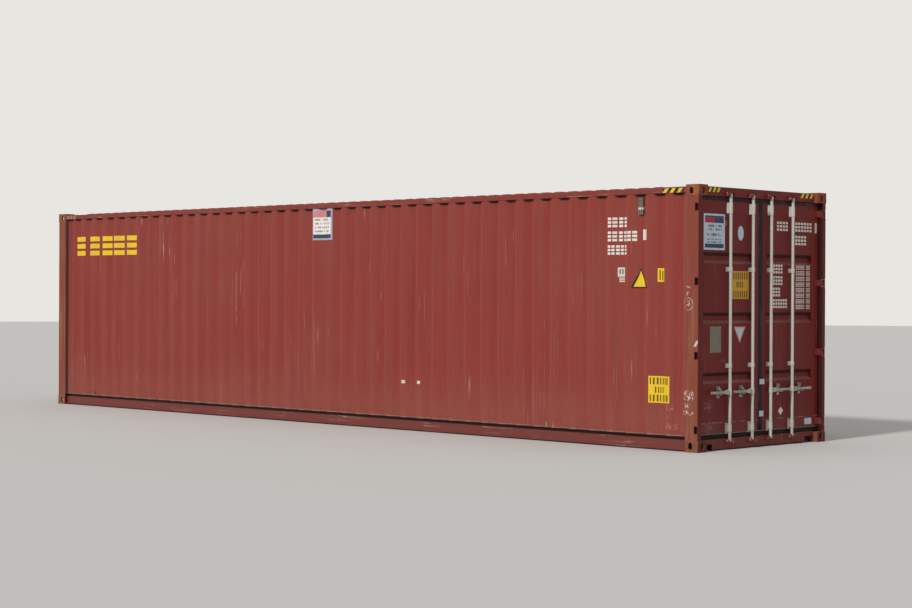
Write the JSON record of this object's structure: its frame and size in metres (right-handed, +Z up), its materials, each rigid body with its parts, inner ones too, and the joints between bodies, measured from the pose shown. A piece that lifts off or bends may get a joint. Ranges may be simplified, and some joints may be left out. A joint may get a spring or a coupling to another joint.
{
  "type": "shipping container",
  "caption": "Forty-foot high-cube steel container with corrugated walls, hinged double doors, turning locking bars and lifting handles.",
  "frame": {"origin": "centre of the footprint, on the plane of the bottom castings' feet", "axes": "+X points out of the door end, +Y to the right of someone facing the doors, +Z up"},
  "size_m": [12.192, 2.438, 2.896],
  "materials": {
    "container_paint": "satin",
    "door_paint": "satin",
    "corner_paint": "satin",
    "galvanised_steel": "satin",
    "floor_steel": "satin",
    "gasket_rubber": "matte",
    "plywood": "matte",
    "vent_plastic": "matte"
  },
  "bodies": {
    "container": {"bottom_castings": "corner_paint", "top_castings": "corner_paint", "front_posts": "corner_paint", "rear_posts": "corner_paint", "rear_post_channels": "corner_paint", "hinge_lugs": "corner_paint", "hinge_pins": "galvanised_steel", "bottom_side_rails": "container_paint", "top_side_rails": "container_paint", "front_top_rail": "container_paint", "front_bottom_rail": "container_paint", "door_header": "door_paint", "door_sill": "door_paint", "left_side_wall": "container_paint", "right_side_wall": "container_paint", "front_wall": "container_paint", "roof_sheet": "container_paint", "roof_corner_plates": "container_paint", "floor_boards": "plywood", "floor_strip": "floor_steel", "cross_members": "container_paint", "gooseneck_tunnel": "container_paint", "top_cam_keepers": "container_paint", "bottom_cam_keepers": "container_paint", "side_vents": "vent_plastic"},
    "left_door": {"left_door_frame": "door_paint", "left_door_panel": "door_paint", "left_door_gasket": "gasket_rubber", "left_hinge_blades": "door_paint", "left_bar_brackets": "galvanised_steel", "left_handle_retainers": "galvanised_steel"},
    "right_door": {"right_door_frame": "door_paint", "right_door_panel": "door_paint", "right_door_gasket": "gasket_rubber", "right_hinge_blades": "door_paint", "right_bar_brackets": "galvanised_steel", "right_handle_retainers": "galvanised_steel"},
    "left_outer_bar_body": {"left_outer_bar": "galvanised_steel"},
    "left_outer_handle_body": {"left_outer_handle": "galvanised_steel"},
    "left_inner_bar_body": {"left_inner_bar": "galvanised_steel"},
    "left_inner_handle_body": {"left_inner_handle": "galvanised_steel"},
    "right_outer_bar_body": {"right_outer_bar": "galvanised_steel"},
    "right_outer_handle_body": {"right_outer_handle": "galvanised_steel"},
    "right_inner_bar_body": {"right_inner_bar": "galvanised_steel"},
    "right_inner_handle_body": {"right_inner_handle": "galvanised_steel"}
  },
  "joints": [
    {"name": "left_door_swing", "type": "hinge", "parent": "container", "child": "left_door", "pos_m": [6.08, -1.203, 0.242], "axis": [0, 0, -1], "range_deg": [0, 260]},
    {"name": "right_door_swing", "type": "hinge", "parent": "container", "child": "right_door", "pos_m": [6.08, 1.203, 0.242], "axis": [0, 0, 1], "range_deg": [0, 260]},
    {"name": "left_outer_bar_turn", "type": "hinge", "parent": "left_door", "child": "left_outer_bar_body", "pos_m": [6.061, -0.595, 0.635], "axis": [0, 0, -1], "range_deg": [-105, 0]},
    {"name": "left_outer_handle_lift", "type": "hinge", "parent": "left_outer_bar_body", "child": "left_outer_handle_body", "pos_m": [6.061, -0.645, 0.635], "axis": [-1, 0, 0], "range_deg": [0, 20]},
    {"name": "left_inner_bar_turn", "type": "hinge", "parent": "left_door", "child": "left_inner_bar_body", "pos_m": [6.061, -0.175, 0.635], "axis": [0, 0, -1], "range_deg": [-105, 0]},
    {"name": "left_inner_handle_lift", "type": "hinge", "parent": "left_inner_bar_body", "child": "left_inner_handle_body", "pos_m": [6.061, -0.225, 0.635], "axis": [-1, 0, 0], "range_deg": [0, 20]},
    {"name": "right_outer_bar_turn", "type": "hinge", "parent": "right_door", "child": "right_outer_bar_body", "pos_m": [6.061, 0.595, 0.635], "axis": [0, 0, 1], "range_deg": [-105, 0]},
    {"name": "right_outer_handle_lift", "type": "hinge", "parent": "right_outer_bar_body", "child": "right_outer_handle_body", "pos_m": [6.061, 0.645, 0.635], "axis": [1, 0, 0], "range_deg": [0, 20]},
    {"name": "right_inner_bar_turn", "type": "hinge", "parent": "right_door", "child": "right_inner_bar_body", "pos_m": [6.061, 0.175, 0.635], "axis": [0, 0, 1], "range_deg": [-105, 0]},
    {"name": "right_inner_handle_lift", "type": "hinge", "parent": "right_inner_bar_body", "child": "right_inner_handle_body", "pos_m": [6.061, 0.225, 0.635], "axis": [1, 0, 0], "range_deg": [0, 20]}
  ]
}
